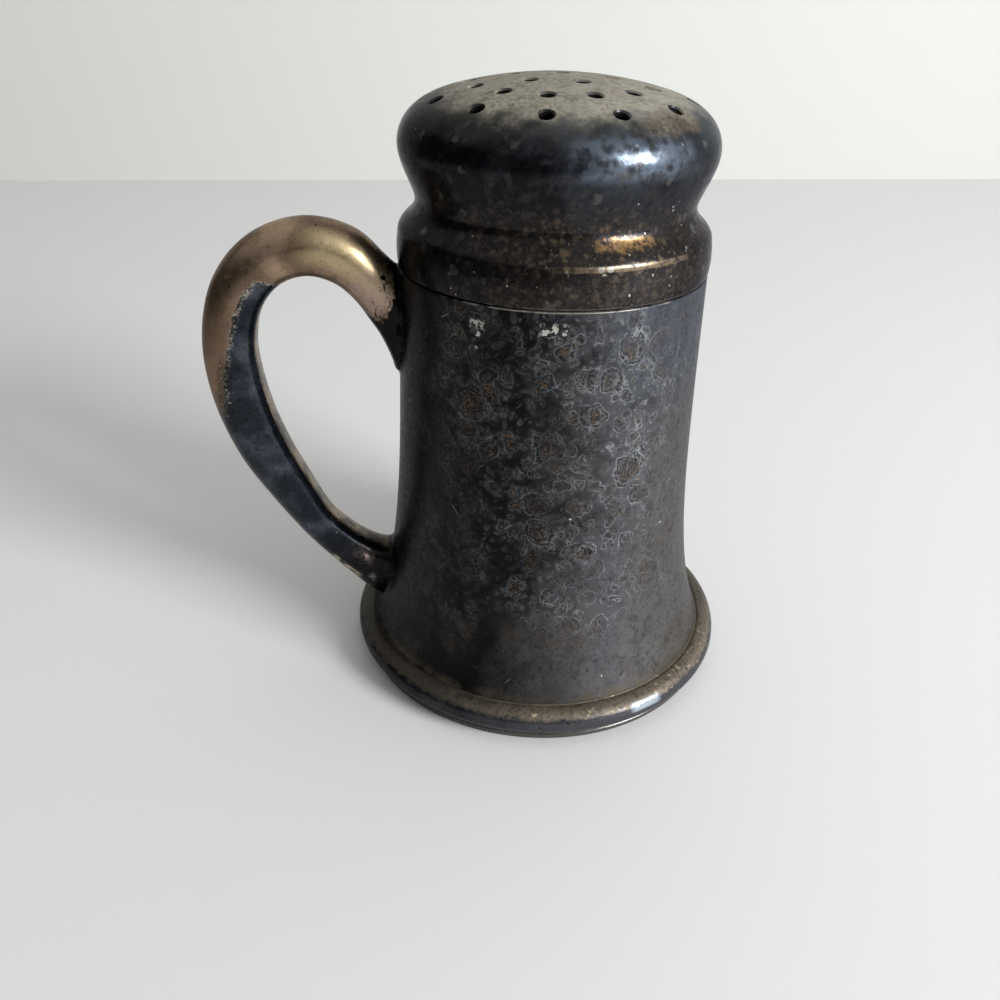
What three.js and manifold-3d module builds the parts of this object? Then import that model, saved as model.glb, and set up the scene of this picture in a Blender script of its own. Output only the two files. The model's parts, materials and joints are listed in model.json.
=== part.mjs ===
// A handled spice shaker of silver-plated sheet: a tapering body on a moulded foot, a hollow handle, and a
// pierced cap that slips over a collar in the body's mouth. Millimetres, +Z up, the handle towards -X.
import * as THREE from 'three';
import { mergeVertices } from 'three/addons/utils/BufferGeometryUtils.js';
import Module from 'manifold-3d';

const wasm = await Module();
wasm.setup();

// Overall sizes
const footRadius = 38.0;
const footHeight = 6.7;
const seamHeight = 79.1;
const mouthRadius = 26.97;
const capHeight = 30.3;
const handleReach = 30.0;
const handleThickness = 9.4;

// Metal gauges
const bodyGauge = 1.0;
const capGauge = 0.9;
const collarGauge = 0.8;
const sleeveGauge = 0.8;
const handleGauge = 1.0;
const baseGauge = 1.0;

// Clearances
const solderGap = 0.3;
const seamGap = 0.3;
const slipGap = 0.3;

// Foot ring: how far in from its widest edge the body's wall stands and the sole starts
const wallInset = 3.6;
const footUndercut = 1.8;
const footLip = 0.18 * footHeight;
const seatMargin = 0.5;
const baseRecess = 0.28 * footHeight;
const baseLedge = 0.9;

// Cap
const bandHeight = 0.195 * capHeight;
const bandSwell = 0.22;
const shoulderRise = 0.075 * capHeight;
const coveRise = 0.088 * capHeight;
const waistInset = 3.17;
const bellInset = 0.47;
const bellHeight = 0.64 * capHeight;
const domeRise = 0.078 * capHeight;
const domeShare = 0.68;
const holeDiameter = 2.3;

// Each ring of holes, with its radius as a share of the bell's and where its first hole lies in degrees
const holeRings = [
  { share: 0.302, count: 6, start: -47 },
  { share: 0.558, count: 13, start: -46 },
  { share: 0.796, count: 12, start: -46 },
];

// Collar in the body's mouth, and the sleeve in the cap that grips it
const collarRise = 1.15 * bandHeight;
const collarDepth = 7.6;
const sleeveHeight = 0.88 * bandHeight;

// Handle: how far below the seam and above the foot its ends lie, then its centre line as shares of its reach
// and of the height between the ends, with its depth and its width at each place as shares of its thickness
const upperRootDrop = 5.9;
const lowerRootRise = 9.8;
const stripShare = 0.6;
const bow = [
  [-0.071, 0.757, 0.36, 0.38], [-0.066, 0.788, 0.62, 0.85], [-0.051, 0.834, 0.68, 1.04],
  [-0.014, 0.901, 0.77, 1.09], [0.056, 1.000, 1.00, 1.09], [0.187, 1.085, 0.96, 1.06],
  [0.321, 1.143, 1.03, 1.04], [0.518, 1.168, 1.02, 1.03], [0.741, 1.132, 0.99, 1.01],
  [0.908, 1.036, 0.99, 1.00], [0.988, 0.882, 1.00, 0.99], [0.963, 0.705, 1.04, 0.97],
  [0.856, 0.520, 1.01, 0.94], [0.684, 0.349, 0.89, 0.88], [0.506, 0.206, 0.77, 0.84],
  [0.321, 0.108, 0.84, 0.85], [0.156, 0.041, 1.02, 0.91], [0.016, 0.000, 1.31, 0.98],
  [-0.102, -0.019, 1.38, 1.00],
];

// How finely the rounds are cut
const turns = 48;
const bowSteps = 32;

// Points along a cubic curve in the (radius, height) half plane, without its first point
function sweep(from, leave, arrive, to, steps) {
  const curve = new THREE.CubicBezierCurve(
    new THREE.Vector2(...from), new THREE.Vector2(...leave),
    new THREE.Vector2(...arrive), new THREE.Vector2(...to));
  return curve.getPoints(steps).slice(1).map((p) => [p.x, p.y]);
}

// The same line moved square to itself, to the left of its direction of travel
function offsetLine(line, distance) {
  return line.map((point, i) => {
    const before = line[Math.max(i - 1, 0)];
    const after = line[Math.min(i + 1, line.length - 1)];
    const run = Math.hypot(after[0] - before[0], after[1] - before[1]);
    return [point[0] - (distance * (after[1] - before[1])) / run,
      point[1] + (distance * (after[0] - before[0])) / run];
  });
}

// One closed skin with shared corners, no slivers and its faces turned outward
function closedSkin(geometry) {
  geometry.deleteAttribute('normal');
  geometry.deleteAttribute('uv');
  const merged = mergeVertices(geometry, 1e-4);
  const position = merged.attributes.position;
  const faces = [];
  const [a, b, c] = [new THREE.Vector3(), new THREE.Vector3(), new THREE.Vector3()];
  let volume = 0;
  for (let i = 0; i < merged.index.count; i += 3) {
    const face = [0, 1, 2].map((k) => merged.index.getX(i + k));
    if (new Set(face).size < 3) continue;
    faces.push(face);
    [a, b, c].forEach((corner, k) => corner.fromBufferAttribute(position, face[k]));
    volume += a.dot(b.clone().cross(c));
  }
  merged.setIndex((volume < 0 ? faces.map(([p, q, r]) => [p, r, q]) : faces).flat());
  return merged;
}

// A closed outline in (radius, height) spun about the Z axis
function spin(outline, segments = turns) {
  const points = outline.map(([r, z]) => new THREE.Vector2(r, z));
  if (outline[0][0] > 0) points.push(points[0].clone());
  const lathe = new THREE.LatheGeometry(points, segments);
  lathe.rotateX(Math.PI / 2);
  return closedSkin(lathe);
}

// A solid through a row of sections, all with the same number of corners
function loft(sections) {
  const corners = sections[0].length;
  const positions = sections.flat().flatMap((p) => [p.x, p.y, p.z]);
  const index = [];
  for (let s = 0; s < sections.length - 1; s++) {
    for (let k = 0; k < corners; k++) {
      const [p, q] = [s * corners + k, s * corners + ((k + 1) % corners)];
      index.push(p, q, q + corners, p, q + corners, p + corners);
    }
  }
  const last = (sections.length - 1) * corners;
  for (let k = 1; k < corners - 1; k++) {
    index.push(0, k + 1, k, last, last + k, last + k + 1);
  }
  const geometry = new THREE.BufferGeometry();
  geometry.setAttribute('position', new THREE.Float32BufferAttribute(positions, 3));
  geometry.setIndex(index);
  return closedSkin(geometry);
}

function toSolid(geometry) {
  return new wasm.Manifold(new wasm.Mesh({
    numProp: 3,
    vertProperties: new Float32Array(geometry.attributes.position.array),
    triVerts: new Uint32Array(geometry.index.array),
  }));
}

function toGeometry(solid) {
  const mesh = solid.getMesh();
  const geometry = new THREE.BufferGeometry();
  geometry.setAttribute('position', new THREE.Float32BufferAttribute(mesh.vertProperties, 3));
  geometry.setIndex(new THREE.Uint32BufferAttribute(mesh.triVerts, 1));
  return geometry;
}

function metalPiece(name, geometry, color, roughness, metalness = 1) {
  geometry.computeVertexNormals();
  const piece = new THREE.Mesh(geometry,
    new THREE.MeshStandardMaterial({ color, roughness, metalness }));
  piece.name = name;
  return piece;
}

// Body wall: one swept line from the foot up to the mouth, and the inner face beside it
const flareRadius = footRadius - wallInset;
const wallLine = [[flareRadius, footHeight], ...sweep(
  [flareRadius, footHeight],
  [flareRadius - 0.9 * (flareRadius - mouthRadius), footHeight + 0.19 * (seamHeight - footHeight)],
  [mouthRadius + 0.72, footHeight + 0.59 * (seamHeight - footHeight)],
  [mouthRadius, seamHeight], 10)];

function wallRadius(height) {
  const at = wallLine.findIndex(([, z]) => z >= height);
  if (at < 0) return mouthRadius;
  if (at === 0) return flareRadius;
  const [[r0, z0], [r1, z1]] = [wallLine[at - 1], wallLine[at]];
  return r0 + ((height - z0) / (z1 - z0)) * (r1 - r0);
}

const wallInside = offsetLine(wallLine, bodyGauge);
wallInside[0][1] = footHeight;
wallInside[wallInside.length - 1] = [mouthRadius - bodyGauge, seamHeight];
const bodyShell = spin([...wallLine, ...wallInside.reverse()]);

// Foot ring: a flat seat for the wall, a rolled moulding, a thin lip, a sole, and a ledge for the base
const footEdge = footRadius - footUndercut;
const seatInner = flareRadius - bodyGauge - seatMargin;
const seatOuter = flareRadius + seatMargin;
const soleInner = seatInner + baseLedge;
const baseTop = baseRecess + baseGauge;
const footRing = spin([
  [seatInner, footHeight],
  [seatOuter, footHeight],
  ...sweep([seatOuter, footHeight], [seatOuter + 0.4 * wallInset, 1.03 * footHeight],
    [footRadius, 0.88 * footHeight], [footRadius, 0.6 * footHeight], 6),
  ...sweep([footRadius, 0.6 * footHeight], [footRadius, 0.44 * footHeight],
    [footEdge + 0.5, footLip + 0.5], [footEdge, footLip], 4),
  [footEdge + 0.2, 0.7 * footLip],
  [footEdge, 0],
  [soleInner, 0],
  [soleInner, baseTop],
  [seatInner, baseTop],
]);

// Base: a disc set up against the ledge inside the foot ring
const baseRadius = soleInner - solderGap;
const basePlate = spin([
  [0, baseTop], [baseRadius, baseTop], [baseRadius, baseRecess], [0.91 * baseRadius, baseRecess],
  [0.88 * baseRadius, baseRecess + 0.25 * baseGauge], [0, baseRecess + 0.25 * baseGauge],
]);

// Cap: one spun shell. An upright band stands over the seam, a soft ridge turns it in to a rounded shoulder, a
// smooth cove makes the waist, and the bell swells again, turns over and closes in a low dome
const capFoot = seamHeight + seamGap;
const capTop = seamHeight + capHeight;
const bandTop = capFoot + bandHeight;
const coveFoot = bandTop + shoulderRise;
const waistHeight = coveFoot + coveRise;
const bellTop = capFoot + bellHeight;
const domeEdge = capTop - domeRise;
const waistRadius = mouthRadius - waistInset;
const bellRadius = mouthRadius - bellInset;
const domeEdgeRadius = domeShare * bellRadius;
const coveRadius = waistRadius + 0.55 * coveRise;
const domeBall = (domeEdgeRadius ** 2 + domeRise ** 2) / (2 * domeRise);
const domeSlope = domeEdgeRadius / Math.sqrt(domeBall ** 2 - domeEdgeRadius ** 2);
const ridge = [mouthRadius - 0.12, bandTop];
const bandLine = [[mouthRadius, capFoot], ...sweep(
  [mouthRadius, capFoot], [mouthRadius + 1.3 * bandSwell, capFoot + 0.3 * bandHeight],
  [mouthRadius + 1.3 * bandSwell, capFoot + 0.6 * bandHeight], ridge, 4),
...sweep(ridge, [ridge[0] - 0.05, bandTop + 0.35 * shoulderRise],
  [coveRadius + 0.7, coveFoot - 0.6], [coveRadius, coveFoot], 5)];
const bellLine = [[coveRadius, coveFoot], ...sweep(
  [coveRadius, coveFoot], [coveRadius - 0.6, coveFoot + 0.51],
  [waistRadius, waistHeight - 0.45 * coveRise], [waistRadius, waistHeight], 4),
...sweep([waistRadius, waistHeight], [waistRadius + 0.05, waistHeight + 0.19 * (bellTop - waistHeight)],
  [bellRadius, waistHeight + 0.67 * (bellTop - waistHeight)], [bellRadius, bellTop], 6),
...sweep([bellRadius, bellTop], [bellRadius, bellTop + 0.6 * (domeEdge - bellTop)],
  [domeEdgeRadius + 3.7, domeEdge - 3.7 * domeSlope], [domeEdgeRadius, domeEdge], 7)];
for (const share of [0.72, 0.4]) {
  const radius = share * domeEdgeRadius;
  bellLine.push([radius, capTop - domeBall + Math.sqrt(domeBall ** 2 - radius ** 2)]);
}
const capBore = mouthRadius - capGauge;
const bellInside = offsetLine(bellLine, capGauge);
const bandInside = [[capBore, capFoot], [capBore, bandTop - 0.5], ...sweep(
  [capBore, bandTop - 0.5], [capBore - 0.1, bandTop + 0.25 * shoulderRise],
  [bellInside[0][0] + 0.7, bellInside[0][1] - 0.5], bellInside[0], 4).slice(0, -1)];
const capBlank = spin([
  ...bandLine, ...bellLine.slice(1), [0, capTop], [0, capTop - capGauge],
  ...[...bandInside, ...bellInside].reverse(),
]);

// The holes are punched square to the dome, in rings round one at the centre
const punchLength = 6 * capGauge;
function punch(radius, angle) {
  const tool = new THREE.CylinderGeometry(holeDiameter / 2, holeDiameter / 2, punchLength, 10);
  tool.rotateX(Math.PI / 2);
  const outer = bellLine.findIndex(([r, z]) => z > bellTop && r <= radius);
  const [r0, z0] = bellLine[Math.max(outer - 1, 0)];
  const [r1, z1] = outer < 0 ? [0, capTop] : bellLine[outer];
  const height = outer < 0 ? capTop : z0 + ((radius - r0) / (r1 - r0)) * (z1 - z0);
  tool.rotateY(radius > 0 ? Math.atan2(z1 - z0, r0 - r1) : 0);
  tool.translate(radius, 0, height);
  tool.rotateZ(THREE.MathUtils.degToRad(angle));
  return toSolid(closedSkin(tool));
}
let pierced = toSolid(capBlank).subtract(punch(0, 0));
for (const ring of holeRings) {
  for (let i = 0; i < ring.count; i++) {
    const angle = ring.start - 90 + (360 * i) / ring.count;
    pierced = pierced.subtract(punch(ring.share * bellRadius, angle));
  }
}
const capShell = toGeometry(pierced);

// Cap sleeve: soldered inside the band, a slip fit on the collar
const sleeveRadius = capBore - solderGap;
const sleeveBore = sleeveRadius - sleeveGauge;
const sleeveFoot = capFoot + 0.2;
const capInnerRing = spin([
  [sleeveRadius, sleeveFoot], [sleeveRadius, sleeveFoot + sleeveHeight],
  [sleeveBore, sleeveFoot + sleeveHeight], [sleeveBore, sleeveFoot + 0.4],
  [sleeveBore + 0.4, sleeveFoot],
]);

// Neck collar: its skirt is soldered in the mouth, then it steps in and stands up inside the cap's sleeve
const skirtRadius = mouthRadius - bodyGauge - solderGap;
const collarRadius = sleeveBore - slipGap;
const collarTop = seamHeight + collarRise;
const collarFoot = seamHeight - collarDepth;
const neckCollar = spin([
  [skirtRadius, collarFoot], [skirtRadius, seamHeight - 0.9],
  [skirtRadius - 0.3, seamHeight - 0.4], [collarRadius, seamHeight],
  [collarRadius, collarTop - 0.4], [collarRadius - 0.3, collarTop],
  [collarRadius - collarGauge, collarTop], [collarRadius - collarGauge, seamHeight - 0.6],
  [skirtRadius - collarGauge, seamHeight - 1.4], [skirtRadius - collarGauge, collarFoot],
]);

// Handle: sections square to the bow's centre line, rounded outside and flatter inside
const upperRootHeight = seamHeight - upperRootDrop;
const lowerRootHeight = footHeight + lowerRootRise;
const rootSpan = upperRootHeight - lowerRootHeight;
const bowLine = new THREE.CatmullRomCurve3(bow.map(([out, up]) => {
  const height = lowerRootHeight + up * rootSpan;
  return new THREE.Vector3(-wallRadius(height) - out * handleReach, 0, height);
}));
const bowGirth = new THREE.CatmullRomCurve3(
  bow.map(([, , deep, wide]) => new THREE.Vector3(deep, wide, 0).multiplyScalar(handleThickness)));

// Each section is drawn by a function that gives its corners as [depth, width] from its half sizes
function alongBow(section) {
  const sections = [];
  for (let i = 0; i <= bowSteps; i++) {
    const t = i / bowSteps;
    const centre = bowLine.getPoint(t);
    const along = bowLine.getTangent(t);
    const outward = new THREE.Vector3(along.z, 0, -along.x);
    const girth = bowGirth.getPoint(t);
    sections.push(section(girth.x / 2, girth.y / 2).map(([deep, wide]) => centre.clone()
      .addScaledVector(outward, deep).add(new THREE.Vector3(0, wide, 0))));
  }
  return loft(sections);
}

function roundedBack(halfDepth, halfWidth) {
  const corners = [];
  for (let k = 0; k < 16; k++) {
    const angle = (2 * Math.PI * (k + 0.5)) / 16;
    const [c, s] = [Math.cos(angle), Math.sin(angle)];
    const power = c > 0 ? 1 : 0.62;
    corners.push([halfDepth * Math.sign(c) * Math.abs(c) ** power,
      halfWidth * Math.sign(s) * Math.abs(s) ** power]);
  }
  return corners;
}

function slot(halfDepth, halfWidth, inner, outer) {
  return [[inner, -halfWidth], [outer, -halfWidth], [outer, halfWidth], [inner, halfWidth]];
}

// What the ends of the handle are cut back to, so that they fit the wall
const wallTool = toSolid(spin([
  [0, 0], ...offsetLine(wallLine, -solderGap).map(([r, z]) => [r, z]),
  [mouthRadius + solderGap, capTop], [0, capTop],
]));
const handleSolid = toSolid(alongBow(roundedBack)).subtract(wallTool);
const handleHollow = toSolid(alongBow((deep, wide) => roundedBack(deep - handleGauge,
  wide - handleGauge)));
const stripSlot = toSolid(alongBow((deep, wide) => slot(deep, stripShare * wide + solderGap,
  -deep - 1, -0.3 * deep)));
const handleShell = toGeometry(handleSolid.subtract(handleHollow).subtract(stripSlot));
const stripBlank = toSolid(alongBow((deep, wide) => slot(deep, stripShare * wide,
  -deep - 1, -deep + handleGauge)));
const handleInnerStrip = toGeometry(handleSolid.intersect(stripBlank));

// The axis of the body stands off the origin, which is the middle of the whole length, handle included
handleShell.computeBoundingBox();
handleInnerStrip.computeBoundingBox();
const handleEnd = Math.min(handleShell.boundingBox.min.x, handleInnerStrip.boundingBox.min.x);

const tarnish = 0x35353a;
const shaker = new THREE.Group();
shaker.position.x = -(handleEnd + footRadius) / 2;
shaker.add(
  metalPiece('body_shell', bodyShell, tarnish, 0.38),
  metalPiece('foot_ring', footRing, 0x5d5345, 0.36),
  metalPiece('base_plate', basePlate, 0x3c3a3a, 0.45),
  metalPiece('neck_collar', neckCollar, 0x8c8578, 0.35),
  metalPiece('handle_shell', handleShell, 0x8d7657, 0.34),
  metalPiece('handle_inner_strip', handleInnerStrip, 0x6a6152, 0.36),
  metalPiece('cap_shell', capShell, 0x42403c, 0.38),
  metalPiece('cap_inner_ring', capInnerRing, 0x7d776c, 0.38),
);

export default shaker;
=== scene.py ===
import json
import math

import bmesh
import bpy
from mathutils import Matrix, Vector

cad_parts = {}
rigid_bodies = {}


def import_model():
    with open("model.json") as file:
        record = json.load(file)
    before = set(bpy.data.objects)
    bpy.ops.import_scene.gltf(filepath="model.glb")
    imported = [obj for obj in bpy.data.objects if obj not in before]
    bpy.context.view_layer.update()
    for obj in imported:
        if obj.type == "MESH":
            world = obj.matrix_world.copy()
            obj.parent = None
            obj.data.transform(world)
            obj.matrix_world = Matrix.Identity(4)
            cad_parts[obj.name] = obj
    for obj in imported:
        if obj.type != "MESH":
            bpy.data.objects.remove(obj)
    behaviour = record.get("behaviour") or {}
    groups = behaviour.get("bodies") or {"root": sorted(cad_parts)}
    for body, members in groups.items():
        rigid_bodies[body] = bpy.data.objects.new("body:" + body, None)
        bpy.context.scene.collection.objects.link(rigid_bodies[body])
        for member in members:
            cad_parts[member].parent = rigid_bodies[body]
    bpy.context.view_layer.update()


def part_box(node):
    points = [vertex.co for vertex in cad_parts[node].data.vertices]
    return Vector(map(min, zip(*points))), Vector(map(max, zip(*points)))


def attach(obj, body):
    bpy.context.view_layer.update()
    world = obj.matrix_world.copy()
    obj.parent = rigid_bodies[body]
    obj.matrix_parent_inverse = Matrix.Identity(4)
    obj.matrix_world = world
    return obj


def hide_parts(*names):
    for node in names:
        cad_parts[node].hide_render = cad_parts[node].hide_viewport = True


# Tarnished spice shaker: each metal piece is turned or drawn again, finer than its CAD node.
# Shapes are worked out in millimetres about the body's axis and put down in metres.
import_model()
footLow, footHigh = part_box("foot_ring")
axisX = (footLow.x + footHigh.x) / 2
mm = 0.001
print("frame loaded, body axis at x =", round(axisX, 5))


def sweep(start, leave, arrive, end, steps):
    # points along a cubic curve in (radius, height), without its first point
    points = []
    for i in range(1, steps + 1):
        t = i / steps
        weights = ((1 - t) ** 3, 3 * t * (1 - t) ** 2, 3 * t * t * (1 - t), t ** 3)
        points.append(tuple(sum(w * p[k] for w, p in zip(weights, (start, leave, arrive, end)))
                            for k in (0, 1)))
    return points


def offsetLine(line, distance):
    # the same line moved square to itself, to the left of its direction of travel
    moved = []
    for i, (r, z) in enumerate(line):
        (r0, z0), (r1, z1) = line[max(i - 1, 0)], line[min(i + 1, len(line) - 1)]
        run = math.hypot(r1 - r0, z1 - z0)
        moved.append((r - distance * (z1 - z0) / run, z + distance * (r1 - r0) / run))
    return moved


def eased(corners, steps=4):
    # a line through (radius, height, rounding) corners, each rounded by that much
    points = []
    for i, (r, z, rounding) in enumerate(corners):
        before, after = corners[i - 1], corners[(i + 1) % len(corners)]
        if not rounding:
            points.append((r, z))
            continue
        here = Vector((r, z))
        back = Vector(before[:2]) - here
        ahead = Vector(after[:2]) - here
        a = here + back.normalized() * min(rounding, back.length * 0.45)
        b = here + ahead.normalized() * min(rounding, ahead.length * 0.45)
        for k in range(steps + 1):
            t = k / steps
            p = a * (1 - t) ** 2 + here * 2 * t * (1 - t) + b * t * t
            points.append((p.x, p.y))
    return points


def inMetres(p):
    # a point about the body's axis, put where it belongs in the frame
    return axisX + p.x * mm, p.y * mm, p.z * mm


def newMesh(name, vertices, faces, edges=()):
    mesh = bpy.data.meshes.new(name)
    mesh.from_pydata(vertices, edges, faces)
    mesh.validate()
    piece = bpy.data.objects.new(name, mesh)
    bpy.context.scene.collection.objects.link(piece)
    return piece


def soften(piece, sharpness=38):
    # smooth shading with crisp edges, and faces that look outward
    mesh = piece.data
    shape = bmesh.new()
    shape.from_mesh(mesh)
    if shape.calc_volume(signed=True) < 0:
        bmesh.ops.reverse_faces(shape, faces=shape.faces)
    shape.to_mesh(mesh)
    shape.free()
    mesh.shade_smooth()
    mesh.set_sharp_from_angle(angle=math.radians(sharpness))


def baked(piece):
    # the result of the piece's modifiers as its plain mesh
    depth = bpy.context.evaluated_depsgraph_get()
    made = bpy.data.meshes.new_from_object(piece.evaluated_get(depth))
    made.name = piece.name
    piece.modifiers.clear()
    piece.data = made
    soften(piece)
    return piece


class Tree:
    # a geometry node tree with named inputs
    def __init__(self, name, inputs):
        self.group = bpy.data.node_groups.new(name, "GeometryNodeTree")
        self.group.interface.new_socket("Geometry", in_out="OUTPUT", socket_type="NodeSocketGeometry")
        self.ids = {}
        for label, kind, value in inputs:
            socket = self.group.interface.new_socket(label, in_out="INPUT", socket_type="NodeSocket" + kind)
            if value is not None:
                socket.default_value = value
            self.ids[label] = socket.identifier
        self.given = self.group.nodes.new("NodeGroupInput").outputs

    def add(self, kind, sockets=None, **settings):
        node = self.group.nodes.new(kind if "Node" in kind else "GeometryNode" + kind)
        for name, value in settings.items():
            setattr(node, name, value)
        for name, value in (sockets or {}).items():
            if isinstance(value, bpy.types.NodeSocket):
                self.group.links.new(value, node.inputs[name])
            elif isinstance(value, list):
                for one in value:
                    self.group.links.new(one, node.inputs[name])
            else:
                node.inputs[name].default_value = value
        return node.outputs[0]

    def math(self, operation, *values):
        return self.add("ShaderNodeMath", dict(enumerate(values)), operation=operation)

    def vector(self, operation, sockets):
        return self.add("ShaderNodeVectorMath", sockets, operation=operation)

    def point(self, **parts):
        return self.add("ShaderNodeCombineXYZ", parts)

    def moved(self, geometry, **places):
        return self.add("Transform", {"Geometry": geometry, **places})

    def finish(self, geometry):
        whole = self.add("RealizeInstances", {0: geometry})
        painted = self.add("SetMaterial", {"Geometry": whole, "Material": self.given["Material"]})
        self.group.links.new(painted, self.group.nodes.new("NodeGroupOutput").inputs[0])

    def use(self, piece, **values):
        modifier = piece.modifiers.new(self.group.name, "NODES")
        modifier.node_group = self.group
        for label, value in values.items():
            modifier[self.ids[label.replace("_", " ")]] = value


def place(piece, body, material, slot, *nodes):
    # the piece's one finish, the body that it rides on and the CAD nodes that it stands for
    piece.data.materials.clear()
    piece.data.materials.append(material)
    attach(piece, body)
    if nodes:
        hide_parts(*nodes)


class Shade:
    # a shader socket: arithmetic on it adds Math nodes, and node() adds any other kind
    def __init__(self, tree, socket=None):
        self.tree = tree
        self.socket = socket

    def node(self, kind, settings=None, sockets=None, output=0):
        made = self.tree.nodes.new("ShaderNode" + kind)
        for name, value in (settings or {}).items():
            if name == "points":
                drawCurve(made.mapping, value)
            else:
                setattr(made, name, value)
        for name, value in (sockets or {}).items():
            if isinstance(value, Shade):
                self.tree.links.new(value.socket, made.inputs[name])
            elif made.inputs[name].type == "RGBA":
                made.inputs[name].default_value = (*value, 1.0)
            else:
                made.inputs[name].default_value = value
        return Shade(self.tree, made.outputs[output])

    def sibling(self, output):
        # another output of the node that this socket is on
        return Shade(self.tree, self.socket.node.outputs[output])

    def math(self, operation, *values):
        return self.node("Math", {"operation": operation}, dict(enumerate(values)))

    def vector(self, operation, other=None, output=0):
        sockets = {0: self} if other is None else {0: self, 1: other}
        return self.node("VectorMath", {"operation": operation}, sockets, output)

    def axis(self, number):
        # one coordinate of a place, 0 to 2 for X to Z
        return self.node("SeparateXYZ", None, {0: self}, number)

    def __add__(self, other):
        return self.math("ADD", self, other)

    __radd__ = __add__

    def __sub__(self, other):
        return self.math("SUBTRACT", self, other)

    def __rsub__(self, other):
        return self.math("SUBTRACT", other, self)

    def __mul__(self, other):
        return self.math("MULTIPLY", self, other)

    __rmul__ = __mul__

    def __abs__(self):
        return self.math("ABSOLUTE", self)

    def least(self, other):
        return self.math("MINIMUM", self, other)

    def most(self, other):
        return self.math("MAXIMUM", self, other)

    def rise(self, low, high):
        # 0 below low, 1 above high, eased between; low above high turns it round
        if low > high:
            return 1 - self.rise(high, low)
        return self.node("MapRange", {"interpolation_type": "SMOOTHSTEP"},
                         {"Value": self, "From Min": low, "From Max": high})

    def band(self, middle, halfWidth, softness):
        # 1 within halfWidth of middle, fading out over softness
        return abs(self - middle).rise(halfWidth + softness, halfWidth)

    def coated(self, *coats):
        # this colour under one coat after another: each has a tone, 0 to 255 or a socket, its share of
        # the surface and, where it doesn't just cover what is below, the way that it blends
        color = self
        for tone, share, *blend in coats:
            color = self.node("Mix", {"data_type": "RGBA", "blend_type": (*blend, "MIX")[0]}, {
                0: share, 6: color, 7: tone if isinstance(tone, Shade) else srgb(*tone)}, 2)
        return color


def drawCurve(mapping, points):
    # a node's one curve, smooth through these points without overshooting; it starts with a point at each end
    drawn = mapping.curves[0].points
    drawn[0].location = points[0]
    drawn[1].location = points[-1]
    for x, y in points[1:-1]:
        drawn.new(x, y)
    for point in drawn:
        point.handle_type = "AUTO_CLAMPED"
    mapping.update()


def srgb(*levels):
    # a colour given as it shows on a screen, 0 to 255
    return tuple(v / 255 / 12.92 if v <= 10.3 else ((v / 255 + 0.055) / 1.055) ** 2.4 for v in levels)


def metal(name, roughness=0.3, metallic=1.0, tint=(1, 1, 1)):
    # a new material with its Principled shader, and where a point is in millimetres about the body's axis
    material = bpy.data.materials.new(name)
    material.use_nodes = True
    surface = material.node_tree.nodes["Principled BSDF"]
    surface.inputs["Metallic"].default_value = metallic
    surface.inputs["Roughness"].default_value = roughness
    surface.inputs["Specular Tint"].default_value = (*tint, 1)
    shade = Shade(material.node_tree)
    where = shade.node("Mapping", None, {
        "Vector": shade.node("TexCoord", output=3), "Location": (-axisX / mm, 0, 0),
        "Scale": (1 / mm, 1 / mm, 1 / mm)})
    return material, surface, where


def connect(surface, relief, strength=0.25, depth=0.06, **values):
    # what changes over a surface, and the relief that catches the light, its depth in millimetres
    values["normal"] = relief.node("Bump", None, {
        "Strength": strength, "Distance": depth * mm, "Height": relief})
    names = {"color": "Base Color", "roughness": "Roughness", "metallic": "Metallic", "normal": "Normal"}
    for name, value in values.items():
        value.tree.links.new(value.socket, surface.inputs[names[name]])


def flat(shade, levels):
    # a plain colour as the start of a row of coats
    color = srgb(*levels)
    return shade.node("Mix", {"data_type": "RGBA"}, {0: 0.0, 6: color, 7: color}, 2)


# Turned pieces: each outline is drawn as edges in (radius, height) and spun by one geometry node tree

def turningTree():
    tree = Tree("turnedSheet", (
        ("Outline", "Geometry", None), ("Turns", "Int", 256), ("Axis X", "Float", 0.0),
        ("Unevenness", "Float", 0.0), ("Unevenness Scale", "Float", 45.0), ("Material", "Material", None)))
    hub = 0.001
    laid = tree.moved(tree.given["Outline"], Rotation=(math.pi / 2, 0, 0))
    inset = tree.moved(laid, Translation=(-hub, 0, 0))
    outline = tree.add("MeshToCurve", {"Mesh": inset})
    circle = tree.add("CurvePrimitiveCircle", {
        "Resolution": tree.given["Turns"], "Radius": hub}, mode="RADIUS")
    upright = tree.add("SetCurveNormal", {"Curve": circle}, mode="Z_UP")
    spun = tree.add("CurveToMesh", {"Curve": upright, "Profile Curve": outline})
    closed = tree.add("MergeByDistance", {"Geometry": spun, "Distance": 2e-6})
    where = tree.add("InputPosition")
    swell = tree.add("ShaderNodeTexNoise", {
        "Vector": where, "Scale": tree.given["Unevenness Scale"], "Detail": 1.0})
    depth = tree.math("MULTIPLY", tree.math("SUBTRACT", swell, 0.5), tree.given["Unevenness"])
    outward = tree.vector("NORMALIZE", {0: tree.vector("MULTIPLY", {0: where, 1: (1, 1, 0)})})
    shove = tree.vector("SCALE", {0: outward, "Scale": depth})
    dented = tree.add("SetPosition", {"Geometry": closed, "Offset": shove})
    tree.finish(tree.moved(dented, Translation=tree.point(X=tree.given["Axis X"])))
    return tree


turning = turningTree()


def turned(name, outline, material, unevenness=0.0):
    vertices = [(r * mm, 0, z * mm) for r, z in outline]
    edges = [(i, (i + 1) % len(outline)) for i in range(len(outline))]
    if outline[0][0] < 1e-6 and outline[-1][0] < 1e-6:
        edges.pop()
    piece = newMesh(name, vertices, [], edges)
    turning.use(piece, Turns=256, Axis_X=axisX, Unevenness=unevenness * mm, Material=material)
    return baked(piece)


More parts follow.
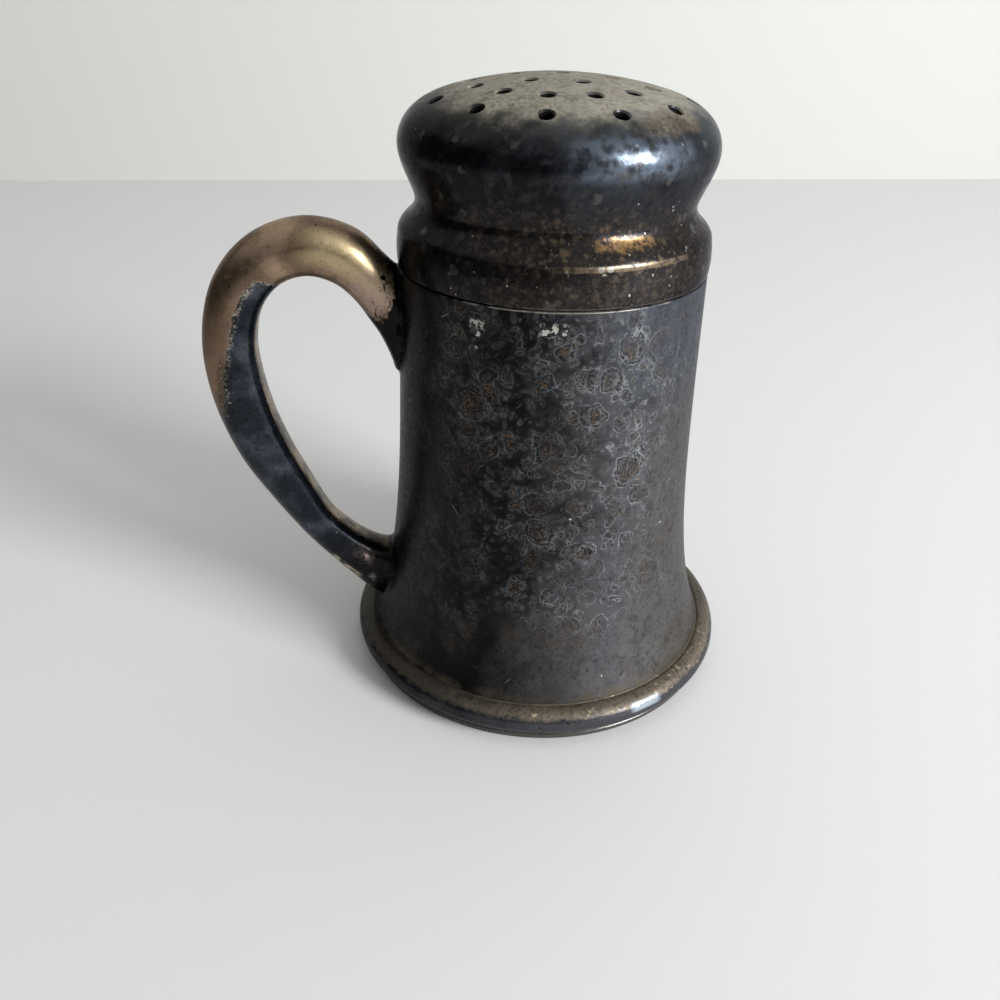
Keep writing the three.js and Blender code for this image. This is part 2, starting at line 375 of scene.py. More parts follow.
def grain(where, size, detail=3.0, roughness=0.55, offset=None, output=0):
    # soft noise whose features are about size millimetres across
    moved = where.vector("ADD", offset) if offset else where
    return where.node("TexNoise", None, {
        "Vector": moved, "Scale": 1 / size, "Detail": detail, "Roughness": roughness}, output)


def shaken(where, size, reach):
    # the same place pushed about by noise, so that what is drawn there is less regular
    centred = grain(where, size, detail=2.0, output=1).vector("SUBTRACT", (0.5, 0.5, 0.5))
    scaled = where.node("VectorMath", {"operation": "SCALE"}, {0: centred, "Scale": 2 * reach})
    return where.vector("ADD", scaled)


def spots(where, cell, least, most, line, share, offset, merging=0.0):
    # rounded stains that may run together: their outline, their inside and how deep in a point is
    sockets = {"Vector": where.vector("ADD", offset), "Scale": 1 / cell}
    if merging:
        sockets["Smoothness"] = merging
    cells = where.node("TexVoronoi", {"feature": "SMOOTH_F1" if merging else "F1"}, sockets)
    chance = where.node("SeparateColor", None, {"Color": cells.sibling("Color")})
    reach = chance * (most - least) + least
    there = chance.sibling(1).rise(1 - share - 0.08, 1 - share + 0.02)
    depth = reach * there - cells
    return abs(depth).rise(line, line * 0.2) * there, depth.rise(0.0, line) * there, depth


def facing(where, azimuth):
    # 1 on the side of the shaker that looks that way, 0 at the quarter, -1 opposite
    a = math.radians(azimuth)
    way = where.vector("MULTIPLY", (1, 1, 0)).vector("NORMALIZE")
    return way.vector("DOT_PRODUCT", (math.cos(a), math.sin(a), 0), 1)


def scratches(where, length, width, angle, share, offset):
    # short thin strokes that all lie about one way
    lying = where.node("VectorRotate", {"rotation_type": "AXIS_ANGLE"}, {
        "Vector": where, "Axis": (0.17, 0.98, 0.0), "Angle": math.radians(angle)})
    moved = lying.vector("MULTIPLY", (1 / width, 1 / length, 1 / length)).vector("ADD", offset)
    cells = where.node("TexVoronoi", None, {"Vector": moved, "Scale": 0.22})
    chance = where.node("SeparateColor", None, {"Color": cells.sibling("Color")})
    return cells.rise(0.13, 0.07) * chance.rise(1 - share, 1 - share + 0.02)


# Body wall
bodySizes = {"flareRadius": 34.4, "footHeight": 6.7, "mouthRadius": 26.97, "seamHeight": 79.1,
             "gauge": 1.0, "edge": 0.18, "footEdge": 0.15, "unevenness": 0.10}


def wallLine(steps=72):
    s = bodySizes
    rise = s["seamHeight"] - s["footHeight"]
    taper = s["flareRadius"] - s["mouthRadius"]
    start = (s["flareRadius"], s["footHeight"])
    return [start] + sweep(start, (s["flareRadius"] - 0.9 * taper, s["footHeight"] + 0.19 * rise),
                           (s["mouthRadius"] + 0.72, s["footHeight"] + 0.59 * rise),
                           (s["mouthRadius"], s["seamHeight"]), steps)


wall = wallLine()


def wallRadius(height):
    for (r0, z0), (r1, z1) in zip(wall, wall[1:]):
        if height <= z1:
            return r0 + max(0.0, (height - z0) / (z1 - z0)) * (r1 - r0)
    return wall[-1][0]


def bodyOutline():
    s = bodySizes
    inner = offsetLine(wall, s["gauge"])
    outside = eased([(inner[0][0], s["footHeight"], 0), (*wall[0], s["footEdge"]),
                     (*wall[1], 0)])[1:-1] + wall[1:-1]
    lip = eased([(*wall[-2], 0), (s["mouthRadius"], s["seamHeight"], s["edge"]),
                 (s["mouthRadius"] - s["gauge"], s["seamHeight"], s["edge"]), (*inner[-2], 0)])[1:-1]
    return outside + lip + inner[1:-1][::-1] + [(inner[0][0], s["footHeight"])]


bodyLook = {"dark": (11, 11, 12), "filmAndPaintedLight": (93, 92, 94), "paintedBlueSheen": (76, 81, 93), "paintedWarmLight": (104, 101, 97),
            "brown": (76, 67, 57), "halo": (84, 85, 88), "ring": (146, 147, 149), "core": (72, 56, 47),
            "gold": (98, 78, 54), "chip": (205, 202, 194), "lip": (196, 190, 178), "hem": (84, 76, 64)}


def ringedStains(where, color, filmAndPaintedLight, density, mottle):
    # overlapping stains, each with a dark body, a brown heart and pale rings: the colour with them on it, how
    # much rougher the mottled wall is with them and how far it stands up
    look = bodyLook
    bent = shaken(shaken(where, 3.4, 1.6), 0.8, 0.26)
    speckle = grain(where, 0.42, 2.0, 0.6, offset=(2, 2, 9))
    heart = flat(where, look["core"]).coated(
        (look["gold"], grain(where, 8.0, 2.0, offset=(5, 2, 5)).rise(0.44, 0.56)))
    stains = []
    for cell, least, most, line, share, offset, bright in (
            (6.4, 0.2, 0.54, 0.026, 0.9, (3, 9, 27), 0.9), (3.6, 0.18, 0.5, 0.036, 0.9, (13, 2, 5), 0.85),
            (2.0, 0.16, 0.46, 0.055, 0.85, (1, 17, 8), 0.7), (1.1, 0.14, 0.4, 0.09, 0.65, (11, 7, 8), 0.5)):
        stain = spots(bent, cell, least, most, line, share, offset, 0.25 if cell > 3 else 0.0)
        stains.append((*stain, line, bright, offset))
        # grey halos round the stains, paler where the film carries painted light
        color = color.coated((look["halo"], stain[2].rise(-0.34, -0.04) * density * (filmAndPaintedLight * 0.46 + 0.1)))
    rough = mottle.rise(0.4, 0.7) * 0.14
    relief = mottle * 0.5
    for outline, inside, depth, line, bright, offset in stains[::-1]:
        within = inside * density
        second = depth.band(0.1, line * 0.2, line) * density * 0.35
        edge = outline * density * grain(where, 2.2, offset=offset).rise(0.3, 0.58)
        # the pale rings show more where the film carries painted light
        color = color.coated(
            (look["dark"], within * speckle.rise(0.56, 0.44) * 0.66),
            (heart, depth.rise(0.06, 0.16) * density * speckle.rise(0.47, 0.6) * 0.62),
            (look["ring"], (edge + second) * (filmAndPaintedLight * 0.7 + 0.26) * bright))
        rough = rough + within * 0.05
        relief = relief + outline * 0.5
    return color, rough, relief


def flakedRim(where, height):
    # two flaked places under the rim
    flaked = (facing(where, -99).rise(0.9945, 0.9985) * height.band(76.2, 0.7, 0.7)
              * grain(where, 1.0, 4.0, 0.7, offset=(3, 8, 8)).rise(0.54, 0.58))
    small = facing(where, -125).rise(0.998, 0.9994) * height.band(76.0, 0.3, 0.7)
    return flaked.most(small * grain(where, 0.8, 3.0, 0.7, offset=(1, 3, 3)).rise(0.48, 0.54))


def tarnishedBody():
    look = bodyLook
    material, surface, where = metal("bodyPlate", 0.34, 0.55, (0.33, 0.33, 0.34))
    height = where.axis(2)
    ragged = grain(where, 6.0, 5.0, 0.65) - 0.5
    # a grey film with painted light in it: thick and pale on the side towards the window and low down, thin
    # and black towards the handle as painted shade
    side = facing(where, -36)
    filmAndPaintedLight = (side + ragged * 0.66 + height.rise(44.0, 8.0) * 0.3).rise(0.34, 1.06)
    filmAndPaintedLight = filmAndPaintedLight * (grain(where, 16.0, 3.0, offset=(9, 40, 3)).rise(0.5, 0.7) * 0.14 + 0.86)
    # the film's colour, with a painted bluish sheen high on the window side and painted warm light low on it
    pale = flat(where, look["filmAndPaintedLight"]).coated(
        (look["paintedBlueSheen"], height.rise(56.0, 72.0) * side.rise(0.6, 0.85) * 0.9),
        (look["paintedWarmLight"], side.rise(0.8, 1.0) * height.rise(66.0, 30.0) * 0.7))
    brown = grain(where, 9.0, 4.0, offset=(31, 5, 2)).rise(0.48, 0.66)
    mottle = grain(where, 0.8, 4.0, 0.7)
    soft = grain(where, 3.2, 4.0, 0.7, offset=(6, 6, 6))
    color = flat(where, look["dark"]).coated(
        (pale, filmAndPaintedLight), (look["brown"], brown * (filmAndPaintedLight * 0.35 + height.rise(34.0, 12.0) * 0.3)),
        (look["dark"], mottle.rise(0.5, 0.66) * 0.5, "MULTIPLY"),
        ((120, 120, 126), soft.rise(0.48, 0.64) * 0.4, "MULTIPLY"))
    # where the stains lie thickly: the front of the wall in patches, thinning out towards the foot
    density = facing(where, -97).rise(0.62, 0.93) * height.rise(18.0, 30.0)
    patches = grain(where, 12.0, 2.0, offset=(7, 3, 11)).rise(0.4, 0.58)
    density = (density * (patches * 0.6 + 0.4) + patches * height.rise(8.0, 24.0) * 0.3 + 0.05).least(1.0)
    color, rough, relief = ringedStains(where, color, filmAndPaintedLight, density, mottle)
    near = height.rise(66.0, 77.0) * 0.14
    chips = spots(shaken(where, 0.9, 0.5), 3.4, 0.04, 0.14, 0.04, 0.5, (5, 21, 2))[1]
    grit = spots(where, 1.0, 0.04, 0.12, 0.05, 0.5, (8, 3, 1))[1]
    strokes = scratches(where, 2.6, 0.22, 32, 0.1, (0, 0, 0))
    strokes = strokes.most(scratches(where, 2.0, 0.18, -48, 0.1, (5, 3, 1)))
    lip = height.rise(78.85, 79.0) * (facing(where, -98) * 0.9 + grain(where, 2.2, 3.0)).rise(1.18, 1.42)
    color = color.coated(
        (look["chip"], chips * (grain(where, 9.0) + near).rise(0.57, 0.6) * 0.85),
        (look["chip"], flakedRim(where, height) * 0.8),
        (look["ring"], grit * 0.4), (look["ring"], strokes * 0.45), (look["lip"], lip * 0.5),
        (look["hem"], height.rise(9.0, 7.0) * (ragged + 0.5).rise(0.35, 0.6) * 0.75))
    connect(surface, relief, color=color, roughness=rough + filmAndPaintedLight * 0.1 + 0.27)
    return material


body = turned("bodyWall", bodyOutline(), tarnishedBody(), bodySizes["unevenness"])
place(body, "shaker_body", body.data.materials[0], "body_plate", "body_shell")
print("body wall turned")


# Foot
footSizes = {"radius": 38.0, "height": 6.7, "undercut": 1.8, "lip": 1.206, "margin": 0.5,
             "inset": 3.6, "baseTop": 2.876, "ledge": 0.9, "unevenness": 0.06}


def footOutline():
    s = footSizes
    edge = s["radius"] - s["undercut"]
    flare = s["radius"] - s["inset"]
    seatInner = flare - bodySizes["gauge"] - s["margin"]
    seatOuter = flare + s["margin"]
    widest = (s["radius"], 0.6 * s["height"])
    line = [(seatInner, s["height"]), (flare - 0.1, s["height"]), (flare + 0.12, s["height"] - 0.18),
            (flare + 0.3, s["height"] - 0.04)]
    line += sweep((seatOuter, s["height"]), (seatOuter + 0.4 * s["inset"], 1.03 * s["height"]),
                  (s["radius"], 0.88 * s["height"]), widest, 20)
    line += sweep(widest, (s["radius"], 0.44 * s["height"]), (edge + 0.5, s["lip"] + 0.5),
                  (edge, s["lip"]), 14)
    line += eased([(edge, s["lip"], 0), (edge + 0.25, 0.8 * s["lip"], 0.2), (edge + 0.1, 0, 0.3),
                   (edge - 0.5, 0, 0)])[1:-1]
    soleInner = seatInner + s["ledge"]
    return line + [(soleInner + 0.2, 0), (soleInner, 0.2), (soleInner, s["baseTop"]),
                   (seatInner, s["baseTop"])]


def footFinish():
    material, surface, where = metal("footPlate", 0.3, tint=(0.5, 0.5, 0.5))
    height = where.axis(2)
    lit = facing(where, -55)
    top = (height + (grain(where, 2.6, 6.0, 0.7) - 0.5) * 3.0).rise(5.3, 6.1)
    fine = grain(where, 0.7, 4.0, 0.7, offset=(1, 9, 2))
    # dust for the top, paler on the lit side as painted light
    dust = flat(where, (62, 56, 48)).coated(
        ((124, 112, 96), (lit + grain(where, 4.0, 4.0, offset=(3, 1, 8)) - 0.5).rise(0.2, 1.0)),
        ((110, 100, 90), fine.rise(0.48, 0.62) * 0.6, "MULTIPLY"))
    # pale patches on the top, commoner on the lit side: partly painted highlight
    patch = (lit * 0.2 + grain(where, 1.7, 4.0, 0.6, offset=(9, 1, 8))).rise(0.79, 0.84)
    pits = spots(shaken(where, 1.0, 0.35), 2.2, 0.12, 0.34, 0.08, 0.6, (4, 4, 4))
    # a small painted highlight towards the window, where the plate is also a little smoother
    paintedHighlightSpot = facing(where, -65.5).rise(0.9945, 0.9985) * height.band(5.2, 0.5, 0.5)
    # the plate under the dust, paler on the lit side as painted light, and pale pit rims there that are
    # painted light too
    color = flat(where, (30, 30, 34)).coated(
        ((76, 76, 80), (lit + grain(where, 5.0, 4.0) - 0.5).rise(0.1, 0.9)),
        (dust, top * 0.9),
        ((190, 174, 142), patch * height.rise(4.8, 5.8) * fine.rise(0.6, 0.5) * 0.75),
        ((28, 26, 25), pits[1] * 0.4), ((110, 106, 100), pits[0] * lit.rise(-0.2, 0.8) * 0.3),
        ((110, 104, 98), height.rise(1.35, 1.05) * 0.6),
        ((42, 36, 30), height.rise(6.25, 6.5) * height.rise(7.2, 6.9) * 0.3),
        ((176, 186, 196), paintedHighlightSpot * 0.85))
    rough = grain(where, 0.8, 3.0).rise(0.3, 0.8) * 0.16 + 0.2 + top * 0.22 - paintedHighlightSpot * 0.08
    connect(surface, grain(where, 1.2, 4.0) + patch + fine * 0.4,
            color=color, roughness=rough, metallic=0.62 - top * 0.35)
    return material


foot = turned("footMoulding", footOutline(), footFinish(), footSizes["unevenness"])
place(foot, "shaker_body", foot.data.materials[0], "foot_plate", "foot_ring")


def dullSheet(name, dark, pale, size, roughness):
    # a plain tarnished finish for what is seldom seen
    material, surface, where = metal(name, roughness)
    color = flat(where, dark).coated(
        (pale, grain(where, size, 5.0).rise(0.35, 0.68)),
        ((150, 140, 130), grain(where, size * 0.12, 3.0, offset=(4, 4, 4)).rise(0.5, 0.65), "MULTIPLY"))
    rough = grain(where, size * 0.3, 3.0, offset=(8, 1, 1)).rise(0.3, 0.8) * 0.2 + roughness
    connect(surface, grain(where, 0.9, 3.0), 0.2, 0.05, color=color, roughness=rough)
    return material


baseSizes = {"radius": 33.5, "top": 2.876, "recess": 1.876, "rim": 2.9, "dish": 0.25}


def baseOutline():
    s = baseSizes
    rim = s["radius"] - s["rim"]
    return [(0, s["top"])] + eased([(0, s["top"], 0), (s["radius"], s["top"], 0.2),
                                    (s["radius"], s["recess"], 0.2), (rim, s["recess"], 0.3),
                                    (rim - 1.0, s["recess"] + s["dish"], 0.3),
                                    (0, s["recess"] + s["dish"], 0)])[1:]


base = turned("basePlate", baseOutline(), dullSheet("basePlateDull", (70, 68, 68), (120, 114, 106), 9.0, 0.4))
place(base, "shaker_body", base.data.materials[0], "base_plate", "base_plate")

collarSizes = {"skirt": 25.67, "radius": 24.67, "foot": 71.5, "seam": 79.1, "top": 85.895, "gauge": 0.8}


def collarOutline():
    s = collarSizes
    skirtInner, inner = s["skirt"] - s["gauge"], s["radius"] - s["gauge"]
    return eased([
        (s["skirt"], s["foot"], 0.1), (s["skirt"], s["seam"] - 0.9, 0.2), (s["radius"], s["seam"], 0.25),
        (s["radius"], s["top"], 0.35), (inner, s["top"], 0.2), (inner, s["seam"] - 0.6, 0.3),
        (skirtInner, s["seam"] - 1.4, 0.2), (skirtInner, s["foot"], 0.1)])


bareMetal = dullSheet("bareMetal", (150, 146, 138), (196, 192, 182), 5.0, 0.26)
collar = turned("neckCollar", collarOutline(), bareMetal)
place(collar, "shaker_body", bareMetal, "bare_metal", "neck_collar")
print("foot, base and collar turned")


# Cap, its outline in shares of its height
capSizes = {"height": 30.3, "foot": 79.4, "gauge": 0.9, "bandSwell": 0.22, "waist": 23.8, "bell": 26.5,
            "bandShare": 0.195, "shoulderShare": 0.075, "coveShare": 0.088, "bellShare": 0.64,
            "domeShare": 0.68, "domeRise": 0.078, "edge": 0.22, "hole": 2.3, "rimFlare": 0.28,
            "unevenness": 0.10}
# each ring's share of the bell's radius, its number of holes and where its first one lies, in degrees
holeRings = ((0.302, 6, -47), (0.558, 13, -46), (0.796, 12, -46))


def capLines():
    # the band and the bell from outside, with the heights of the top, the band's top and the shoulder
    s = capSizes
    height, mouth, foot = s["height"], bodySizes["mouthRadius"], s["foot"]
    top = bodySizes["seamHeight"] + height
    bandHeight, shoulder, coveRise = (s[k] * height for k in ("bandShare", "shoulderShare", "coveShare"))
    bandTop = foot + bandHeight
    coveFoot = bandTop + shoulder
    waistHeight = coveFoot + coveRise
    bellTop = foot + s["bellShare"] * height
    domeRise = s["domeRise"] * height
    domeEdge = top - domeRise
    coveRadius = s["waist"] + 0.55 * coveRise
    edgeRadius = s["domeShare"] * s["bell"]
    ball = (edgeRadius ** 2 + domeRise ** 2) / (2 * domeRise)
    slope = edgeRadius / math.sqrt(ball ** 2 - edgeRadius ** 2)
    ridge = (mouth - 0.12, bandTop)
    waist = (s["waist"], waistHeight)
    swollen = mouth + 1.3 * s["bandSwell"]
    band = eased([(mouth - s["gauge"], foot, 0), (mouth, foot, s["edge"]), (mouth + 0.1, foot + 1, 0)])[1:-1]
    band += sweep((mouth, foot), (swollen, foot + 0.3 * bandHeight), (swollen, foot + 0.6 * bandHeight),
                  ridge, 14)[1:]
    band += sweep(ridge, (ridge[0] - 0.05, bandTop + 0.35 * shoulder), (coveRadius + 0.7, coveFoot - 0.6),
                  (coveRadius, coveFoot), 14)
    bell = sweep((coveRadius, coveFoot), (coveRadius - 0.6, coveFoot + 0.51),
                 (s["waist"], waistHeight - 0.45 * coveRise), waist, 12)
    bell += sweep(waist, (s["waist"] + 0.05, waistHeight + 0.19 * (bellTop - waistHeight)),
                  (s["bell"], waistHeight + 0.67 * (bellTop - waistHeight)), (s["bell"], bellTop), 26)
    bell += sweep((s["bell"], bellTop), (s["bell"], bellTop + 0.6 * (domeEdge - bellTop)),
                  (edgeRadius + 3.7, domeEdge - 3.7 * slope), (edgeRadius, domeEdge), 26)
    for k in range(13, 0, -1):
        radius = edgeRadius * k / 14
        bell.append((radius, top - ball + math.sqrt(ball ** 2 - radius ** 2)))
    return band, bell, top, bandTop, shoulder


def capOutline():
    s = capSizes
    band, bell, top, bandTop, shoulder = capLines()
    bore = bodySizes["mouthRadius"] - s["gauge"]
    inner = offsetLine([band[-1]] + bell, s["gauge"])
    bandInner = [(bore, s["foot"] + 0.25), (bore, bandTop - 0.5)]
    bandInner += sweep((bore, bandTop - 0.5), (bore - 0.1, bandTop + 0.25 * shoulder),
                       (inner[0][0] + 0.7, inner[0][1] - 0.5), inner[0], 8)[:-1]
    return ([(bore + 0.2, s["foot"])] + band + bell + [(0, top), (0, top - s["gauge"])]
            + (bandInner + inner)[::-1])


def piercingTree():
    # rings of holes, each punched square to the dome, with a slightly opened rim
    ringInputs = (("Radius", "Float", 0.01), ("Holes", "Int", 6), ("Start", "Float", 0.0),
                  ("Height", "Float", 0.1), ("Tilt", "Float", 0.1))
    rings = [(f"Ring {n} {label}", kind, value) for n in (1, 2, 3) for label, kind, value in ringInputs]
    tree = Tree("capPiercing", [("Cap", "Geometry", None), ("Hole Radius", "Float", 0.00115),
                                ("Rim Flare", "Float", 0.0003), ("Axis X", "Float", 0.0),
                                ("Top", "Float", 0.11), *rings, ("Material", "Material", None)])
    hole, flare, axis = (tree.given[label] for label in ("Hole Radius", "Rim Flare", "Axis X"))
    shaft = tree.add("MeshCylinder", {"Vertices": 28, "Radius": hole, "Depth": 0.006})
    cone = tree.add("MeshCone", {
        "Vertices": 28, "Radius Top": tree.math("ADD", tree.math("ADD", hole, flare), flare),
        "Radius Bottom": hole, "Depth": tree.math("MULTIPLY", flare, 2.0)})
    seated = tree.moved(cone, Translation=tree.point(Z=tree.math("MULTIPLY", flare, -1.0)))
    punch = tree.add("MeshBoolean", {"Mesh 2": [shaft, seated]}, operation="UNION", solver="EXACT")
    where = tree.add("InputPosition")
    parts = []
    for n in (1, 2, 3):
        radius, count, start, height, tilt = (tree.given[f"Ring {n} {label}"] for label, _, _ in ringInputs)
        circle = tree.add("MeshCircle", {"Vertices": count, "Radius": radius})
        outward = tree.vector("SCALE", {
            0: where, "Scale": tree.math("DIVIDE", tree.math("TANGENT", tilt), radius)})
        turn = tree.add("FunctionNodeAlignRotationToVector", {
            "Vector": tree.vector("ADD", {0: outward, 1: (0, 0, 1)})}, axis="Z")
        punched = tree.add("InstanceOnPoints", {
            "Points": circle, "Instance": punch, "Rotation": turn})
        parts.append(tree.moved(punched, Translation=tree.point(X=axis, Z=height),
                                Rotation=tree.point(Z=start)))
    parts.append(tree.moved(punch, Translation=tree.point(X=axis, Z=tree.given["Top"])))
    punches = tree.add("RealizeInstances", {
        0: tree.add("JoinGeometry", {0: parts})})
    pierced = tree.add("MeshBoolean", {
        "Mesh 1": tree.given["Cap"], "Mesh 2": [punches]}, operation="DIFFERENCE", solver="EXACT")
    tree.finish(tree.add("MergeByDistance", {"Geometry": pierced, "Distance": 4e-6}))
    return tree


def brownSpots(where, color, low, paintedWarmLight):
    # small brown stains with pale outlines, thickest where low is 1, and golden where the painted warm light
    # of the cove's highlight falls
    stain = flat(where, (88, 77, 67)).coated(((124, 103, 78), paintedWarmLight))
    bent = shaken(where, 1.6, 0.3)
    for cell, least, most, line, share, offset in (
            (2.5, 0.14, 0.34, 0.05, 0.8, (3, 9, 27)), (1.5, 0.16, 0.38, 0.08, 0.8, (13, 2, 5)),
            (0.95, 0.18, 0.38, 0.12, 0.7, (1, 12, 5))):
        outline, inside, _ = spots(bent, cell, least, most, line, share, offset)
        thick = (low * 0.9 + grain(where, 6.0, 3.0, offset=offset).rise(0.46, 0.64) * 0.35).least(1.0)
        kept = grain(where, 1.8, 2.0, offset=offset).rise(0.32, 0.54)
        color = color.coated((stain, inside * thick * kept * 0.5),
                             ((118, 110, 98), outline * thick * kept * 0.16))
    return color


def dryDust(where, lit, fine):
    # the colour of what lies on the dome, paler in patches on the lit side as painted light
    paintedLightPatches = grain(where, 4.0, offset=(5, 5, 1)).rise(0.42, 0.62)
    return flat(where, (124, 117, 103)).coated(
        ((164, 157, 141), fine.rise(0.36, 0.66)),
        ((76, 70, 60), grain(where, 2.6, 4.0, 0.65, offset=(1, 1, 6)).rise(0.52, 0.68) * 0.6),
        ((172, 168, 156), lit.rise(0.0, 1.0) * paintedLightPatches * 0.4))


def capFinish():
    material, surface, where = metal("capPlate", 0.24, tint=(0.4, 0.4, 0.42))
    height = where.axis(2)
    lit = facing(where, -45)
    front = facing(where, -74)
    clouds = grain(where, 7.0, 4.0) - 0.5
    # painted sheen: bluish clouds over the dark plate, thickest on the lit side and high on the bell
    paintedSheenClouds = (lit + clouds * 2.4).rise(0.25, 1.2) * (height.rise(95.0, 101.0) * 0.55 + 0.3)
    smudge = spots(shaken(where, 1.4, 0.6), 3.0, 0.2, 0.42, 0.1, 0.6, (7, 7, 2), 0.3)
    smudged = smudge[1] * grain(where, 2.4, offset=(3, 3, 5)).rise(0.4, 0.6)
    # a cloudy painted highlight on the turn of the bell, bluish bright
    paintedBellHighlight = front.rise(0.88, 0.985) * height.band(100.9, 1.2, 2.8)
    paintedBellHighlight = paintedBellHighlight * grain(where, 2.0, 3.0, offset=(4, 6, 4)).rise(0.38, 0.6)
    # brown stains low on the cap, thickest where they look towards the window, so that side also carries
    # painted light
    low = height.rise(95.5, 89.0) * (lit + clouds * 1.8).rise(-0.3, 0.7)
    color = flat(where, (24, 25, 28)).coated(
        ((70, 74, 82), paintedSheenClouds),
        ((60, 58, 56), grain(where, 1.1, 4.0, 0.7, offset=(3, 2, 1)).rise(0.5, 0.68) * 0.5, "MULTIPLY"),
        ((74, 69, 64), grain(where, 1.9, 5.0, 0.65, offset=(9, 3, 8)).rise(0.48, 0.68) * 0.4),
        ((74, 71, 69), smudged * 0.6), ((112, 124, 138), paintedBellHighlight * 0.7), ((52, 44, 38), low * 0.4),
        ((84, 70, 58), low * grain(where, 0.7, 4.0, 0.7, offset=(6, 2, 4)).rise(0.5, 0.66) * 0.5))
    # the stains turn golden in the cove as a painted highlight
    color = brownSpots(where, color, low, front.rise(0.7, 0.98) * height.band(88.6, 1.6, 3.2))
    # painted highlights in gold low on the bell and along the ridge, with painted glints in beads under it
    wavyHeight = height + (grain(where, 1.6, 3.0, offset=(2, 5, 5)) - 0.5) * 3.0
    gold = (front + (grain(where, 3.0, offset=(4, 1, 1)) - 0.5) * 0.05).rise(0.968, 0.994)
    gold = gold * wavyHeight.band(88.4, 0.3, 0.8)
    ridge = height.band(85.5, 0.26, 0.3) * (facing(where, -73) + clouds * 0.5).rise(0.84, 1.0)
    paintedGlintBeads = spots(where, 1.4, 0.3, 0.46, 0.07, 0.85, (6, 1, 3))[1] * height.band(85.25, 0.45, 0.3)
    chips = spots(shaken(where, 0.8, 0.3), 1.5, 0.05, 0.17, 0.05, 0.6, (5, 21, 2))[1]
    dots = spots(where, 0.7, 0.1, 0.24, 0.1, 0.3, (2, 2, 2))[1]
    # a pale line at the cap's lower edge, brighter on the lit side as painted light
    edge = height.rise(79.7, 79.5) * (lit * 0.5 + grain(where, 1.8, 3.0) - 0.2).rise(0.36, 0.56)
    # dry dust on the dome, thinning out in patches over the turn of the bell, and reaching a little lower on
    # the lit side as painted light
    cloudy = grain(where, 5.0, 5.0, 0.65, offset=(2, 7, 3)) - 0.5
    upward = where.node("NewGeometry", output=1).axis(2)
    dust = (height + cloudy * 5.0 + lit * 0.4).rise(104.3, 107.0) * upward.rise(0.45, 0.75)
    fine = grain(where, 0.7, 4.0, 0.7)
    haze = (height + cloudy * 4.0).rise(101.5, 105.5) * (1 - dust)
    streak = (height + cloudy * 2.0).band(104.5, 0.7, 0.8) * facing(where, -55).rise(0.95, 0.99)
    color = color.coated(
        ((186, 146, 98), gold * grain(where, 1.1, 4.0, 0.65, offset=(8, 8, 1)).rise(0.36, 0.54) * 0.6),
        ((150, 132, 108), ridge * grain(where, 1.5, 3.0, offset=(1, 2, 4)).rise(0.36, 0.54) * 0.7),
        ((178, 172, 160), paintedGlintBeads * facing(where, -86).rise(0.955, 0.985) * 0.75),
        ((198, 194, 186), chips * (grain(where, 5.0) + low * 0.1).rise(0.55, 0.59) * 0.75),
        ((160, 150, 136), dots * (low * 0.8 + 0.1) * 0.6), ((150, 144, 132), edge * 0.4),
        (dryDust(where, lit, fine), dust * 0.9), ((84, 82, 78), haze * 0.35),
        ((150, 132, 104), streak * fine.rise(0.36, 0.56) * 0.45))
    rough = dust * 0.42 + haze * 0.08 + grain(where, 1.1, 3.0).rise(0.3, 0.8) * 0.14 + low * 0.04 + 0.17
    connect(surface, grain(where, 0.9, 4.0, 0.65) + dust * grain(where, 0.3, 3.0) * 1.4,
            color=color, roughness=rough, metallic=(0.75 - dust * 0.65 - smudged * 0.4).most(0.0))
    return material


def domeAt(share):
    # radius, height and tilt of the dome where a ring of holes lies
    bell = capLines()[1]
    radius = share * capSizes["bell"]
    crown = [p for p in bell if p[1] > capSizes["foot"] + capSizes["bellShare"] * capSizes["height"]]
    for (r0, z0), (r1, z1) in zip(crown, crown[1:]):
        if r1 <= radius:
            return radius, z0 + (radius - r0) / (r1 - r0) * (z1 - z0), math.atan2(z1 - z0, r0 - r1)


capPaint = capFinish()
cap = turned("capShell", capOutline(), capPaint, capSizes["unevenness"])
holes = {}
for n, (share, count, start) in enumerate(holeRings, 1):
    radius, height, tilt = domeAt(share)
    holes.update({f"Ring_{n}_Radius": radius * mm, f"Ring_{n}_Holes": count, f"Ring_{n}_Height": height * mm,
                  f"Ring_{n}_Tilt": tilt, f"Ring_{n}_Start": math.radians(start - 90)})
piercingTree().use(cap, Hole_Radius=capSizes["hole"] / 2 * mm, Rim_Flare=capSizes["rimFlare"] * mm,
                   Axis_X=axisX, Top=capLines()[2] * mm, Material=capPaint, **holes)
baked(cap)
place(cap, "cap", capPaint, "cap_plate", "cap_shell")

sleeveSizes = {"radius": 25.77, "bore": 24.97, "foot": 79.6, "height": 5.2}
s = sleeveSizes
sleeve = turned("capSleeve", eased([
    (s["radius"], s["foot"], 0.1), (s["radius"], s["foot"] + s["height"], 0.15),
    (s["bore"], s["foot"] + s["height"], 0.15), (s["bore"], s["foot"] + 0.4, 0.1),
    (s["bore"] + 0.4, s["foot"], 0.1)]), bareMetal)
place(sleeve, "cap", bareMetal, "bare_metal", "cap_inner_ring")
print("cap turned and pierced")


